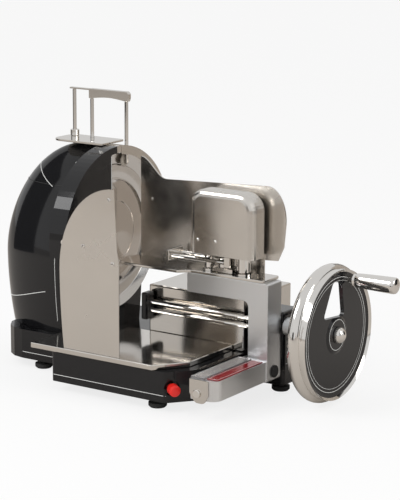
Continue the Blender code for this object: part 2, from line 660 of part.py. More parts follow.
def sharpener():
    bottom = HOUSING_TOP - POST_BELOW
    names = ("sharpener_post_left", "sharpener_post_middle", "sharpener_post_right")
    bar_low = POST_TOP - BAR_HEIGHT
    for name, x in zip(names, POST_X):
        top = POST_TOP - LINK_DROP if name == "sharpener_post_left" else bar_low - GAP
        turned(name, "z", (x, SHARPENER_Y), rod_profile(bottom, top, POST_RADIUS), CHROME, 12)
    middle, right = POST_X[1], POST_X[2]
    sag = 0.004
    lower = [(right - (right - middle) * k / 8, bar_low + sag * math.sin(math.pi * k / 8)) for k in range(9)]
    outline = [(middle - 0.005, POST_TOP - 0.003), (middle - 0.005, bar_low)] + lower[::-1]
    outline += [(right + 0.006, bar_low), (right + 0.008, bar_low + 0.006), (right + 0.008, POST_TOP - 0.004),
                (right + 0.004, POST_TOP), (middle - 0.002, POST_TOP)]
    prism("sharpener_handle", "y", flipped(outline), SHARPENER_Y - BAR_DEPTH / 2,
          SHARPENER_Y + BAR_DEPTH / 2, STEEL, 0.0010, 1)
    link_low = POST_TOP - LINK_DROP + GAP
    box("sharpener_link", (POST_X[0] - 0.009, POST_X[1] - 0.005 - GAP),
        (SHARPENER_Y - 0.004, SHARPENER_Y + 0.004), (link_low, link_low + LINK_THICKNESS), STEEL, 0.0006, 1)
    collar_low = BLADE_Z + HOOD_OUTER + SEAT_THICKNESS + 2 * GAP
    collar = tube_profile(collar_low, collar_low + COLLAR_HEIGHT, POST_RADIUS + RUNNING, COLLAR_RADIUS)
    turned("post_collar", "z", (POST_X[0], SHARPENER_Y), collar, CHROME, SMALL_ROUND)
    stone_face = POST_X[2] - POST_RADIUS - GAP - STONE_LENGTH
    stone = tube_profile(stone_face, stone_face + STONE_LENGTH, 0.002, STONE_RADIUS)
    turned("sharpening_stone", "x", (SHARPENER_Y, bottom + 0.006), stone, STONE, SMALL_ROUND)


def drive_cover():
    low = BASE_TOP + GAP
    made = box("drive_cover", (DRIVE_LEFT, DRIVE_RIGHT), (DRIVE_FRONT, DRIVE_BACK), (low, DRIVE_TOP),
               STEEL, 0.003)
    hollow = prism_mesh("z", rectangle(DRIVE_LEFT + DRIVE_WALL, DRIVE_RIGHT - DRIVE_WALL,
                                       DRIVE_FRONT + DRIVE_WALL, DRIVE_BACK - DRIVE_WALL),
                        low - 0.01, DRIVE_TOP - DRIVE_WALL)
    boolean(made, helper("drive_cover_hollow", hollow))
    bore(made, "x", (WHEEL_Y, WHEEL_Z), DRIVE_RIGHT - 0.02, DRIVE_RIGHT + 0.02, WHEEL_SHAFT_RADIUS + 0.002)


def carriage_frame():
    """One casting: the box that slides on the base, the leg and the beam over the tray."""
    outline = [(LEG_LEFT, BOX_BOTTOM), (BOX_RIGHT, BOX_BOTTOM), (BOX_RIGHT, BEAM_TOP),
               (BEAM_LEFT, BEAM_TOP), (BEAM_LEFT, BEAM_BOTTOM), (LEG_LEFT, BEAM_BOTTOM)]
    radii = [0.002, 0.004, 0.004, 0.004, 0.004, CORNER_RADIUS]
    made = prism("carriage_frame", "y", flipped(rounded(outline, radii)), BEAM_FRONT, BEAM_BACK,
                 CAST, 0.0012, 1)
    foot = prism_mesh("z", rounded([(BOX_LEFT, BOX_FRONT), (BOX_RIGHT - 0.0025, BOX_FRONT),
                                    (BOX_RIGHT - 0.0025, BEAM_FRONT + 0.02), (BOX_LEFT, BEAM_FRONT + 0.02)],
                                   [0.003, 0.018, 0.002, 0.002], 5), BOX_BOTTOM + 0.0025, BOX_TOP)
    boolean(made, helper("carriage_box", foot), "UNION")
    tongue = prism_mesh("y", [(RAIL_Z - RAIL_HEIGHT / 2, BASE_RIGHT - RAIL_WIDTH),
                              (RAIL_Z + RAIL_HEIGHT / 2, BASE_RIGHT - RAIL_WIDTH),
                              (RAIL_Z + RAIL_HEIGHT / 2, BOX_LEFT + 0.01),
                              (RAIL_Z - RAIL_HEIGHT / 2, BOX_LEFT + 0.01)], TONGUE_FRONT, BEAM_FRONT + 0.015)
    boolean(made, helper("carriage_tongue", tongue), "UNION")
    for k, z in enumerate(ROD_HEIGHTS):
        mesh = turned_mesh("x", (ROD_Y, z), [(LEG_LEFT - 0.01, 0), (LEG_LEFT - 0.01, ROD_RADIUS + GAP),
                                             (LEG_LEFT + 0.02, ROD_RADIUS + GAP), (LEG_LEFT + 0.02, 0)], 16)
        boolean(made, helper(f"rod_socket_{k}", mesh))


def carriage_fittings():
    for name, z in zip(("guide_rod_upper", "guide_rod_lower"), ROD_HEIGHTS):
        turned(name, "x", (ROD_Y, z), rod_profile(ROD_LEFT, LEG_LEFT + 0.0195, ROD_RADIUS), CHROME, 16)
    middle = sum(ROD_HEIGHTS) / 2
    box("rod_bracket", (ROD_LEFT - ROD_BLOCK_WIDTH, ROD_LEFT - GAP), (ROD_Y - 0.012, ROD_Y + 0.012),
        (middle - 0.026, middle + 0.026), BLACK, 0.003)
    box("warning_plate", (LABEL_LEFT, BOX_RIGHT - 0.0045), (LABEL_FRONT, LABEL_BACK),
        (BOX_TOP + GAP, BOX_TOP + GAP + LABEL_THICKNESS), LABEL_RED, 0.0004, 1)
    box("clear_slide_cover", (WINDOW_LEFT, WINDOW_RIGHT), (WINDOW_FRONT, WINDOW_BACK),
        (WINDOW_BOTTOM, WINDOW_BOTTOM + WINDOW_THICKNESS), CLEAR, 0.0006, 1)
    front = BOX_FRONT - GAP - LATCH_THICKNESS
    top = WINDOW_BOTTOM - GAP
    outline = [(LATCH_LEFT, top), (LATCH_LEFT, 0.050), (LATCH_LEFT + 0.012, LATCH_BOTTOM),
               (LATCH_RIGHT - 0.008, LATCH_BOTTOM), (LATCH_RIGHT, 0.048), (LATCH_RIGHT, top)]
    prism("end_bracket", "y", flipped(rounded(outline, [0, 0.006, 0.010, 0.010, 0.006, 0])),
          front, BOX_FRONT - GAP, STEEL)
    turned("bracket_screw", "y", (0.050, LATCH_LEFT + 0.016),
           rod_profile(front - SCREW_HEAD, front - GAP, 0.0075), CHROME, SMALL_ROUND)
    turned("leg_plug", "x", (BEAM_FRONT + 0.024, BOX_BOTTOM + 0.017),
           rod_profile(BOX_RIGHT + GAP, BOX_RIGHT + PLUG_DEPTH, PLUG_RADIUS), RUBBER, SMALL_ROUND)


def table():
    low = BEAM_TOP + GAP
    outline = [(TABLE_LEFT, TABLE_FRONT), (BEAM_LEFT - 0.012, TABLE_FRONT), (BEAM_LEFT + 0.006, BEAM_FRONT),
               (TABLE_RIGHT, BEAM_FRONT), (TABLE_RIGHT, FENCE_Y - GAP), (TABLE_LEFT, FENCE_Y - GAP)]
    prism("meat_table", "z", rounded(outline, [0.020, 0.008, 0.008, 0.006, 0.006, 0.010]),
          low, low + TABLE_THICKNESS, STEEL, 0.0010, 1)


def fence():
    """Upright plate against the table's back edge."""
    foot = BEAM_TOP + GAP
    low = foot + TABLE_THICKNESS + GAP
    curve = []
    for k in range(13):
        x = FENCE_LEFT + (FENCE_SHOULDER_X - FENCE_LEFT) * k / 12
        share = (1 + math.cos(math.pi * k / 12)) / 2
        curve.append((x, FENCE_TOP + (FENCE_PEAK - FENCE_TOP) * share))
    right = FENCE_RIGHT
    top = [(right - 0.040, FENCE_TOP + 0.010)]
    for k in range(1, 13):
        angle = math.pi / 2 - 1.05 * math.pi / 2 * k / 12
        top.append((right - 0.040 + 0.040 * math.cos(angle), FENCE_TOP - 0.052 + 0.062 * math.sin(angle)))
    low_right = [(right - 0.004, low + 0.052), (right - 0.016, low + 0.026), (right - 0.045, low + 0.024)]
    outline = curve + top + low_right + [(right - 0.045, foot), (FENCE_LEFT, foot)]
    prism("fence_plate", "y", flipped(outline), FENCE_Y, FENCE_Y + FENCE_THICKNESS, STEEL)


def clamp():
    """Pressed cover with large corner radii, open below, on two columns."""
    rings = [(CLAMP_FRONT + CLAMP_EDGE * (1 - math.cos(math.pi / 2 * k / 4)),
              CLAMP_EDGE * (1 - math.sin(math.pi / 2 * k / 4))) for k in range(5)]
    rings += [(CLAMP_BACK - CLAMP_EDGE * (1 - math.cos(math.pi / 2 * k / 4)),
               CLAMP_EDGE * (1 - math.sin(math.pi / 2 * k / 4))) for k in range(4, -1, -1)]
    stack = []
    for y, inset in rings:
        shape = rounded([(CLAMP_LEFT + inset, CLAMP_BOTTOM), (CLAMP_RIGHT - inset, CLAMP_BOTTOM),
                         (CLAMP_RIGHT - inset, CLAMP_TOP - inset), (CLAMP_LEFT + inset, CLAMP_TOP - inset)],
                        [0, 0, CLAMP_CORNER - inset, CLAMP_CORNER * 0.8 - inset], 8)
        stack.append([(x, y, z) for x, z in shape])
    made = loft("clamp_cover", stack, CHROME)
    wall = CLAMP_WALL
    inner = rounded([(CLAMP_LEFT + wall, CLAMP_BOTTOM - 0.02), (CLAMP_RIGHT - wall, CLAMP_BOTTOM - 0.02),
                     (CLAMP_RIGHT - wall, CLAMP_TOP - wall), (CLAMP_LEFT + wall, CLAMP_TOP - wall)],
                    [0.001, 0.001, CLAMP_CORNER, CLAMP_CORNER * 0.8], 6)
    reach = COLUMN_RADII[1] + RUNNING
    hollow = prism_mesh("y", flipped(inner), COLUMN_Y - reach, COLUMN_Y + reach)
    boolean(made, helper("clamp_hollow", hollow))
    base_z = BEAM_TOP + 2 * GAP + TABLE_THICKNESS
    for name, x, radius in zip(("clamp_column_left", "clamp_column_right"), COLUMN_X, COLUMN_RADII):
        flare = radius + 0.0035
        profile = [(base_z, 0), (base_z, flare), (base_z + 0.004, flare), (base_z + 0.006, radius),
                   (COLUMN_TOP - 0.001, radius), (COLUMN_TOP, radius - 0.001), (COLUMN_TOP, 0)]
        turned(name, "z", (x, COLUMN_Y), profile, CHROME, 24)
    box("clamp_slide_shoe", (COLUMN_X[0] + COLUMN_RADII[0] + 0.005, COLUMN_X[1] - COLUMN_RADII[1] - 0.005),
        (COLUMN_Y - 0.010, COLUMN_Y + 0.010), (base_z, base_z + SHOE_HEIGHT), STEEL, 0.001, 1)


def gripper():
    """Rod fork that holds the meat, a clamping knob and the cross bar that carries them."""
    left = PRONG_LEFT
    shoe_top = BEAM_TOP + 2 * GAP + TABLE_THICKNESS + SHOE_HEIGHT
    for name, y in (("gripper_prong_front", COLUMN_Y - 0.016), ("gripper_prong_back", COLUMN_Y + 0.016)):
        turned(name, "x", (y, PRONG_Z), rod_profile(left, COLUMN_X[1] - 0.030, PRONG_RADIUS), CHROME, 12)
    box("gripper_plate", (left - 0.006, left - GAP), (COLUMN_Y - 0.024, COLUMN_Y + 0.024),
        (PRONG_Z - 0.009, PRONG_Z + 0.011), STEEL, 0.001, 1)
    cross_left = COLUMN_X[1] - 0.030 + GAP
    box("gripper_crosshead", (cross_left, cross_left + 0.012), (COLUMN_Y - 0.021, COLUMN_Y + 0.021),
        (PRONG_Z - 0.008, CLAMP_BOTTOM - GAP), STEEL, 0.001, 1)
    turned("gripper_knob", "z", (0.5 * (COLUMN_X[0] + COLUMN_X[1]) - 0.006, COLUMN_Y),
           rod_profile(shoe_top + GAP, shoe_top + 0.019, 0.0105), CHROME, SMALL_ROUND)


def flywheel():
    centre = (WHEEL_Y, WHEEL_Z)
    face = WHEEL_FACE
    back = face - WHEEL_RIM_DEPTH
    rim = [(back, WHEEL_DISC_RADIUS - 0.012), (back, WHEEL_RADIUS - 0.016),
           (back + 0.008, WHEEL_RADIUS - 0.006), (back + 0.020, WHEEL_RADIUS),
           (face - 0.010, WHEEL_RADIUS - 0.001), (face - 0.002, WHEEL_RADIUS - 0.006),
           (face, WHEEL_DISC_RADIUS + 0.0015), (face - 0.003, WHEEL_DISC_RADIUS + GAP),
           (face - 0.022, WHEEL_DISC_RADIUS + GAP)]
    origin = (face, WHEEL_Y, WHEEL_Z)
    set_origin(turned("flywheel_rim", "x", centre, rim, CHROME, 64), origin)
    disc_face = face - DISC_SETBACK
    disc_back = disc_face - WHEEL_DISC_THICKNESS
    disc = [(disc_back, WHEEL_SHAFT_RADIUS + GAP), (disc_back, WHEEL_DISC_RADIUS),
            (disc_face, WHEEL_DISC_RADIUS), (disc_face - 0.002, WHEEL_DISC_RADIUS - 0.010),
            (disc_face - 0.002, 0.036), (disc_face, 0.030), (disc_face, WHEEL_SHAFT_RADIUS + GAP)]
    made = turned("flywheel_disc", "x", centre, disc, BLACK, 64)
    opening = [(WHEEL_Y + y, WHEEL_Z + z) for y, z in WHEEL_WINDOW]
    corners = [0.006, 0.006, 0.008, 0.010]
    window = prism_mesh("x", rounded(opening, corners), disc_back - 0.02, face + 0.02)
    boolean(made, helper("flywheel_window", window))
    handle_centre = (WHEEL_Y + HANDLE_DY, WHEEL_Z + HANDLE_DZ)
    mesh = turned_mesh("x", handle_centre, [(disc_back - 0.02, 0), (disc_back - 0.02, PIN_RADIUS + GAP),
                                            (face + 0.02, PIN_RADIUS + GAP), (face + 0.02, 0)], 16)
    boolean(made, helper("handle_pin_hole", mesh))
    set_origin(made, origin)
    shaft_end = disc_face + 0.001
    shaft = rod_profile(WHEEL_SHAFT_LEFT, shaft_end, WHEEL_SHAFT_RADIUS)
    set_origin(turned("flywheel_shaft", "x", centre, shaft, STEEL, SMALL_ROUND), origin)
    cap = [(shaft_end + GAP, 0), (shaft_end + GAP, WHEEL_HUB_RADIUS),
           (shaft_end + 0.008, WHEEL_HUB_RADIUS - 0.001),
           (shaft_end + 0.013, WHEEL_HUB_RADIUS - 0.006), (shaft_end + 0.015, 0)]
    set_origin(turned("flywheel_hub_cap", "x", centre, cap, CHROME, 32), origin)
    pin_end = face + HANDLE_LENGTH - 0.006
    set_origin(turned("handle_pin", "x", handle_centre,
                      rod_profile(disc_back, pin_end, PIN_RADIUS), STEEL, 16), origin)
    start = face + 0.004
    end = face + HANDLE_LENGTH
    bore_radius = PIN_RADIUS + GAP
    grip = [(start, bore_radius), (start, HANDLE_RADIUS * 0.72), (start + 0.004, HANDLE_RADIUS * 0.80),
            (start + 0.006, HANDLE_RADIUS * 0.70), (start + 0.010, HANDLE_RADIUS * 0.86),
            (start + 0.030, HANDLE_RADIUS * 0.93), (end - 0.012, HANDLE_RADIUS),
            (end - 0.003, HANDLE_RADIUS * 0.97),
            (end, HANDLE_RADIUS * 0.86), (end, 0), (pin_end + RUNNING, 0), (pin_end + RUNNING, bore_radius)]
    set_origin(turned("flywheel_handle", "x", handle_centre, grip, CHROME, 28),
               (face, handle_centre[0], handle_centre[1]))


def bearing_column():
    low = FOOT_HEIGHT
    made = box("bearing_column", (BASE_RIGHT + GAP, COLUMN_BLOCK_RIGHT),
               (COLUMN_BLOCK_FRONT, COLUMN_BLOCK_BACK), (low, COLUMN_BLOCK_TOP), BLACK, 0.006, 3)
    bore(made, "x", (WHEEL_Y, WHEEL_Z), BASE_RIGHT - 0.02, COLUMN_BLOCK_RIGHT + 0.02,
         WHEEL_SHAFT_RADIUS + GAP)
    turned("shaft_bearing", "x", (WHEEL_Y, WHEEL_Z),
           tube_profile(COLUMN_BLOCK_RIGHT + GAP, WHEEL_FACE - 0.020, WHEEL_SHAFT_RADIUS + GAP,
                        SHAFT_BEARING_RADIUS),
           CAST, SMALL_ROUND)
    gear = tube_profile(GEAR_LEFT, GEAR_LEFT + GEAR_WIDTH, WHEEL_SHAFT_RADIUS + GAP, SHAFT_BEARING_RADIUS)
    set_origin(turned("drive_gear", "x", (WHEEL_Y, WHEEL_Z), gear, CAST, 24), (WHEEL_FACE, WHEEL_Y, WHEEL_Z))
    left, right = INNER_BEARING_LEFT, INNER_BEARING_LEFT + INNER_BEARING_WIDTH
    support = box("inner_bearing", (left, right),
                  (WHEEL_Y - SHAFT_BEARING_RADIUS, WHEEL_Y + SHAFT_BEARING_RADIUS + BEARING_WALL),
                  (BASE_TOP + GAP, WHEEL_Z + SHAFT_BEARING_RADIUS), CAST, 0.001, 1)
    bore(support, "x", (WHEEL_Y, WHEEL_Z), left - CUT_PAST, right + CUT_PAST, WHEEL_SHAFT_RADIUS + GAP)


feet()
base()
red_knob()
tray()
housing()
dome()
blade()
hood()
blade_ring()
sharpener_plate()
guard()
sharpener()
drive_cover()
carriage_frame()
carriage_fittings()
table()
fence()
clamp()
gripper()
flywheel()
bearing_column()
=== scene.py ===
import json
import math

import bmesh
import bpy
from mathutils import Matrix, Vector


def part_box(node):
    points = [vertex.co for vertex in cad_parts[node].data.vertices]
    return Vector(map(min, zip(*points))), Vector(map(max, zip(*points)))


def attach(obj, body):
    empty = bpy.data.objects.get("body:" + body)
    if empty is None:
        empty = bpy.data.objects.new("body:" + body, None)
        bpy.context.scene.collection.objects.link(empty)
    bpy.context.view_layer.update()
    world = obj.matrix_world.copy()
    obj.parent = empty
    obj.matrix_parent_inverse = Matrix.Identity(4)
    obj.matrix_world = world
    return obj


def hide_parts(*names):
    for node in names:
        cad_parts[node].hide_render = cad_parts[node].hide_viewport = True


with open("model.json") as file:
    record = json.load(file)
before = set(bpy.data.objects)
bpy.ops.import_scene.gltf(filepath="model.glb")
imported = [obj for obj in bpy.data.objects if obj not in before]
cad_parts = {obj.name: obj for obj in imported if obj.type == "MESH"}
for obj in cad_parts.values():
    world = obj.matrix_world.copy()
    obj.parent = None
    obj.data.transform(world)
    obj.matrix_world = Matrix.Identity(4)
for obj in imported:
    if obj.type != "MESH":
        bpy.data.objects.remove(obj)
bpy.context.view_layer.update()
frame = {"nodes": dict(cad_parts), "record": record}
scene = bpy.context.scene

# Camera, as solved from the photograph
CAMERA_PLACE = (1.9173, -2.7784, 0.9869)
CAMERA_AZIMUTH, CAMERA_ELEVATION, CAMERA_ROLL = 34.06, 12.25, 0.27
LENS, SENSOR = 134.1, 36.0

# Shapes that the visual pieces share with the solids
BELLY_Z = 0.215
UPPER_POINT = 1.5
REACH_POINT = 1.9
PLAN_POINT = 0.86
BELLY_TAPER, REACH_TAPER = 0.10, 0.07
DISC_MARGIN = 0.008
RIM_ROUND = 0.0115
STRIPE_LIFT = 0.0001

# Facets round a turned piece, from the largest pieces to the smallest
FINE = 144
MEDIUM = 64
SMALL = 32

# Widths of painted lines
STRIPE = 0.0007
THIN_STRIPE = 0.0006

# Studio
WORLD_LEVEL = 0.70
FLOOR_HALF_WIDTH = 60.0
FLOOR_DROP = 0.0002
PAPER_GLOW = 0.8
PAPER = (0.93, 0.93, 0.93, 1)
PAPER_IN_MIRRORS = (0.56, 0.52, 0.48, 1)
LAMP_AIM = (0, 0, 0.2)

# Which coordinates of a piece lie across its axis, and which along it
AXIS_ORDER = {"x": (1, 2, 0), "y": (2, 0, 1), "z": (0, 1, 2)}


def noise(nodes, links, scale, detail=4.0, stretch=(1, 1, 1)):
    place = nodes.new("ShaderNodeTexCoord")
    mapping = nodes.new("ShaderNodeMapping")
    mapping.inputs["Scale"].default_value = stretch
    links.new(place.outputs["Object"], mapping.inputs["Vector"])
    made = nodes.new("ShaderNodeTexNoise")
    made.inputs["Scale"].default_value = scale
    made.inputs["Detail"].default_value = detail
    links.new(mapping.outputs["Vector"], made.inputs["Vector"])
    return made.outputs["Fac"]


def spread(nodes, links, value, low, high, start=0.3, end=0.7):
    made = nodes.new("ShaderNodeMapRange")
    made.inputs["From Min"].default_value = start
    made.inputs["From Max"].default_value = end
    made.inputs["To Min"].default_value = low
    made.inputs["To Max"].default_value = high
    links.new(value, made.inputs["Value"])
    return made.outputs["Result"]


def bump(nodes, links, value, shader, strength, distance):
    made = nodes.new("ShaderNodeBump")
    made.inputs["Strength"].default_value = strength
    made.inputs["Distance"].default_value = distance
    links.new(value, made.inputs["Height"])
    links.new(made.outputs["Normal"], shader.inputs["Normal"])


def surface(name, colour, metallic, rough, tint=0.06, grain=None, bumps=(0.05, 0.0004), coat=0.0, scale=14.0):
    """A Principled material with smudges in its roughness, a faint change of tone and a fine grain."""
    made = bpy.data.materials.new(name)
    made.use_nodes = True
    nodes, links = made.node_tree.nodes, made.node_tree.links
    shader = nodes["Principled BSDF"]
    shader.inputs["Metallic"].default_value = metallic
    shader.inputs["Coat Weight"].default_value = coat
    shader.inputs["Coat Roughness"].default_value = 0.04
    smudge = noise(nodes, links, scale)
    links.new(spread(nodes, links, smudge, rough[0], rough[1]), shader.inputs["Roughness"])
    tone = nodes.new("ShaderNodeMix")
    tone.data_type = "RGBA"
    tone.inputs["A"].default_value = (*[c * (1 - tint) for c in colour], 1)
    tone.inputs["B"].default_value = (*[min(1, c * (1 + tint)) for c in colour], 1)
    links.new(noise(nodes, links, scale * 0.45, 2.0), tone.inputs["Factor"])
    links.new(tone.outputs["Result"], shader.inputs["Base Color"])
    fine = noise(nodes, links, *(grain or (420.0, 2.0, (1, 1, 1))))
    bump(nodes, links, fine, shader, *bumps)
    return made


def turned_finish(name, colour, rough, axis_point):
    """Steel with the fine circular marks of a lathe or grinder round an axis along X."""
    made = surface(name, colour, 1.0, rough)
    nodes, links = made.node_tree.nodes, made.node_tree.links
    shader = nodes["Principled BSDF"]
    place = nodes.new("ShaderNodeTexCoord")
    shift = nodes.new("ShaderNodeVectorMath")
    shift.operation = "SUBTRACT"
    shift.inputs[1].default_value = axis_point
    links.new(place.outputs["Object"], shift.inputs[0])
    flat = nodes.new("ShaderNodeVectorMath")
    flat.operation = "MULTIPLY"
    flat.inputs[1].default_value = (0, 1, 1)
    links.new(shift.outputs["Vector"], flat.inputs[0])
    length = nodes.new("ShaderNodeVectorMath")
    length.operation = "LENGTH"
    links.new(flat.outputs["Vector"], length.inputs[0])
    rings = nodes.new("ShaderNodeTexNoise")
    rings.noise_dimensions = "1D"
    rings.inputs["Scale"].default_value = 900.0
    rings.inputs["Detail"].default_value = 3.0
    links.new(length.outputs["Value"], rings.inputs["W"])
    bump(nodes, links, rings.outputs["Fac"], shader, 0.10, 0.0003)
    return made


blade_low, blade_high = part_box("blade")
BLADE_AXIS = (blade_low + blade_high) / 2
rim_low, rim_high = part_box("flywheel_rim")
WHEEL_AXIS = (rim_low + rim_high) / 2

BLACK = surface("gloss_black_enamel", (0.010, 0.010, 0.011), 0.0, (0.05, 0.13), 0.15, (60.0, 2.0, (1, 1, 1)),
                (0.03, 0.0006), 0.25, 6.0)
BLACK.node_tree.nodes["Principled BSDF"].inputs["Specular IOR Level"].default_value = 0.3
STEEL = surface("mirror_steel", (0.74, 0.71, 0.67), 1.0, (0.06, 0.15), 0.05, (260.0, 2.0, (1, 14, 14)),
                (0.03, 0.0003))
SATIN = surface("brushed_cover_steel", (0.74, 0.71, 0.67), 1.0, (0.17, 0.30), 0.05, (300.0, 2.0, (14, 14, 1)),
                (0.04, 0.0003))
CAST = surface("satin_cast_aluminium", (0.80, 0.81, 0.82), 1.0, (0.30, 0.44), 0.04, (700.0, 4.0, (1, 1, 1)),
               (0.14, 0.0005))
CHROME = surface("bright_chrome", (0.86, 0.84, 0.81), 1.0, (0.03, 0.09), 0.03, (35.0, 2.0, (1, 1, 1)),
                 (0.02, 0.0006))
BLADE = turned_finish("ground_blade_steel", (0.78, 0.77, 0.76), (0.10, 0.20), BLADE_AXIS)
COVER = turned_finish("turned_cover_steel", (0.62, 0.58, 0.54), (0.08, 0.16), BLADE_AXIS)
RIM = turned_finish("polished_rim", (0.84, 0.82, 0.79), (0.05, 0.12), WHEEL_AXIS)
RED = surface("red_knob_plastic", (0.80, 0.018, 0.012), 0.0, (0.22, 0.36), 0.08)
ENAMEL = surface("red_plate_enamel", (0.30, 0.008, 0.016), 0.0, (0.14, 0.26), 0.10, None, (0.03, 0.0003), 0.4)
RUBBER = surface("foot_rubber", (0.028, 0.028, 0.028), 0.0, (0.55, 0.80), 0.15, (300.0, 4.0, (1, 1, 1)),
                 (0.30, 0.0008))
STONE = surface("grinding_stone_grit", (0.45, 0.40, 0.34), 0.0, (0.75, 0.95), 0.2, (900.0, 6.0, (1, 1, 1)),
                (0.5, 0.0008))
WHITE = surface("pinstripe_paint", (0.80, 0.80, 0.78), 0.0, (0.25, 0.40), 0.04)
# Painted shade: near-black paint standing in for the shadow inside screw slots and the cover's groove.
SLOT_AND_GROOVE_SHADE = surface("painted_slot_and_groove_shade", (0.02, 0.02, 0.02), 0.0, (0.5, 0.8), 0.1)
CLEAR = surface("clear_plastic_strip", (0.92, 0.90, 0.90), 0.0, (0.05, 0.12), 0.02)
CLEAR.node_tree.nodes["Principled BSDF"].inputs["Transmission Weight"].default_value = 0.9
CLEAR.node_tree.nodes["Principled BSDF"].inputs["IOR"].default_value = 1.3

BY_SLOT = {"gloss_black": BLACK, "polished_steel": STEEL, "satin_aluminium": CAST, "chrome": CHROME,
           "blade_steel": BLADE, "red_plastic": RED, "red_enamel": ENAMEL, "clear_plastic": CLEAR,
           "black_rubber": RUBBER, "grinding_stone": STONE}
BY_NODE = {"clamp_cover": SATIN, "fence_plate": SATIN, "slice_guard": SATIN}


def dress_solids():
    """Gives every CAD node its own finish where BY_NODE has one, or else that of its material slot."""
    slots = {s["node"]: s["material_slot"] for s in frame["record"]["subparts"]}
    for name, node in frame["nodes"].items():
        for place in node.material_slots:
            place.material = BY_NODE.get(name, BY_SLOT[slots[name]])


def piece(name, mesh, material, body, replaced=(), crease=35.0):
    data = bpy.data.meshes.new(name)
    bmesh.ops.recalc_face_normals(mesh, faces=mesh.faces)
    mesh.to_mesh(data)
    mesh.free()
    data.shade_smooth()
    data.set_sharp_from_angle(angle=math.radians(crease))
    data.materials.append(material)
    made = bpy.data.objects.new(name, data)
    scene.collection.objects.link(made)
    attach(made, body)
    if replaced:
        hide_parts(*replaced)
    return made


def lathe(profile, centre, steps, axis="x"):
    """A closed profile of (along, radius) points turned round a line along X, Y or Z."""
    order = AXIS_ORDER[axis]
    mesh = bmesh.new()
    rings = []
    for along, radius in profile:
        ring = []
        for k in range(steps if radius > 1e-6 else 1):
            angle = 2 * math.pi * k / steps
            values = (centre[0] + radius * math.cos(angle), centre[1] + radius * math.sin(angle), along)
            place = [0.0, 0.0, 0.0]
            for target, value in zip(order, values):
                place[target] = value
            ring.append(mesh.verts.new(place))
        rings.append(ring)
    for lower, upper in zip(rings, rings[1:] + rings[:1]):
        if len(lower) == 1 and len(upper) == 1:
            continue
        for k in range(steps):
            n = (k + 1) % steps
            corners = [lower[k % len(lower)], lower[n % len(lower)],
                       upper[n % len(upper)], upper[k % len(upper)]]
            mesh.faces.new(list(dict.fromkeys(corners)))
    return mesh


def stripe(name, points, body, radius=STRIPE, material=None, closed=False):
    """A thin line of paint or metal along points that lie on a surface."""
    data = bpy.data.curves.new(name, "CURVE")
    data.dimensions = "3D"
    data.bevel_depth = radius
    data.bevel_resolution = 2
    line = data.splines.new("POLY")
    line.points.add(len(points) - 1)
    for place, point in zip(line.points, points):
        place.co = (*point, 1)
    line.use_cyclic_u = closed
    data.materials.append(material or WHITE)
    made = bpy.data.objects.new(name, data)
    scene.collection.objects.link(made)
    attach(made, body)
    return made


# The egg-shaped cover, with the same outline rules as its solid
dome_low, dome_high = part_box("drive_side_cover")
DOME_MIDDLE_Y = (dome_low.y + dome_high.y) / 2
DOME_HALF = (dome_high.y - dome_low.y) / 2
DOME_REACH = dome_high.x - dome_low.x
DOME_TOP = dome_high.z + 0.0003
SEAM_X = dome_high.x


def dome_depth(z):
    if z > BELLY_Z:
        rise = (z - BELLY_Z) / (DOME_TOP - BELLY_Z)
        return DOME_HALF * max(0.0, 1 - rise ** UPPER_POINT) ** (1 / UPPER_POINT)
    drop = (BELLY_Z - z) / (BELLY_Z - dome_low.z)
    return DOME_HALF * (1 - BELLY_TAPER * drop ** 2)


def dome_reach(z):
    if z > BELLY_Z:
        rise = (z - BELLY_Z) / (DOME_TOP - BELLY_Z)
        return DOME_REACH * math.sqrt(max(0.0, 1 - rise ** REACH_POINT))
    drop = (BELLY_Z - z) / (BELLY_Z - dome_low.z)
    return DOME_REACH * (1 - REACH_TAPER * drop ** 2)


def dome_point(degrees, z, lift=0.0):
    """A point on the cover: 0 degrees is the front edge at the seam, 180 the back edge."""
    angle = math.radians(degrees)
    across = math.copysign(abs(math.cos(angle)) ** PLAN_POINT, math.cos(angle))
    out = math.sin(angle) ** PLAN_POINT
    share = 1 + lift / DOME_HALF
    return Vector((SEAM_X - dome_reach(z) * out * share, DOME_MIDDLE_Y - dome_depth(z) * across * share, z))


def cover_arc(start, sweep, height, rise, steps=40):
    """A line over the cover through sweep degrees, bowed by rise in the middle."""
    return [dome_point(start + sweep * k / steps, height + rise * math.sin(math.pi * k / steps), STRIPE_LIFT)
            for k in range(steps + 1)]


def cover():
    """The side cover as one smooth shell, with its painted lines and a dark line of painted shade for its
    groove.
    """
    mesh = bmesh.new()
    rows = []
    low_rows, high_rows, columns = 16, 44, 64
    heights = [dome_low.z + (BELLY_Z - dome_low.z) * k / low_rows for k in range(low_rows)]
    for k in range(high_rows + 1):
        heights.append(BELLY_Z + (dome_high.z - BELLY_Z) * math.sin(math.pi / 2 * k / high_rows))
    for z in heights:
        rows.append([mesh.verts.new(dome_point(180 * k / columns, z)) for k in range(columns + 1)])
    for lower, upper in zip(rows, rows[1:]):
        for a, b, c, d in zip(lower, lower[1:], upper[1:], upper):
            mesh.faces.new((a, b, c, d))
        mesh.faces.new((lower[-1], lower[0], upper[0], upper[-1]))
    mesh.faces.new(rows[0][::-1])
    mesh.faces.new(rows[-1])
    piece("side_cover_shell", mesh, BLACK, "machine", ("drive_side_cover",), 50)
    stripe("cover_stripe_low", cover_arc(8, 110, 0.155, -0.030), "machine")
    stripe("cover_stripe_top", cover_arc(14, 120, 0.352, 0.036), "machine")
    # Painted shade: a dark line round the cover standing in for the shadow in its groove.
    groove_shade = [dome_point(1 + 178 * k / 60, 0.355, STRIPE_LIFT) for k in range(61)]
    stripe("cover_groove_shade", groove_shade, "machine", THIN_STRIPE, SLOT_AND_GROOVE_SHADE)
    seam = [dome_point(1.5, 0.10 + 0.30 * k / 40, STRIPE_LIFT) for k in range(41)]
    stripe("cover_seam_stripe", seam, "machine", THIN_STRIPE)


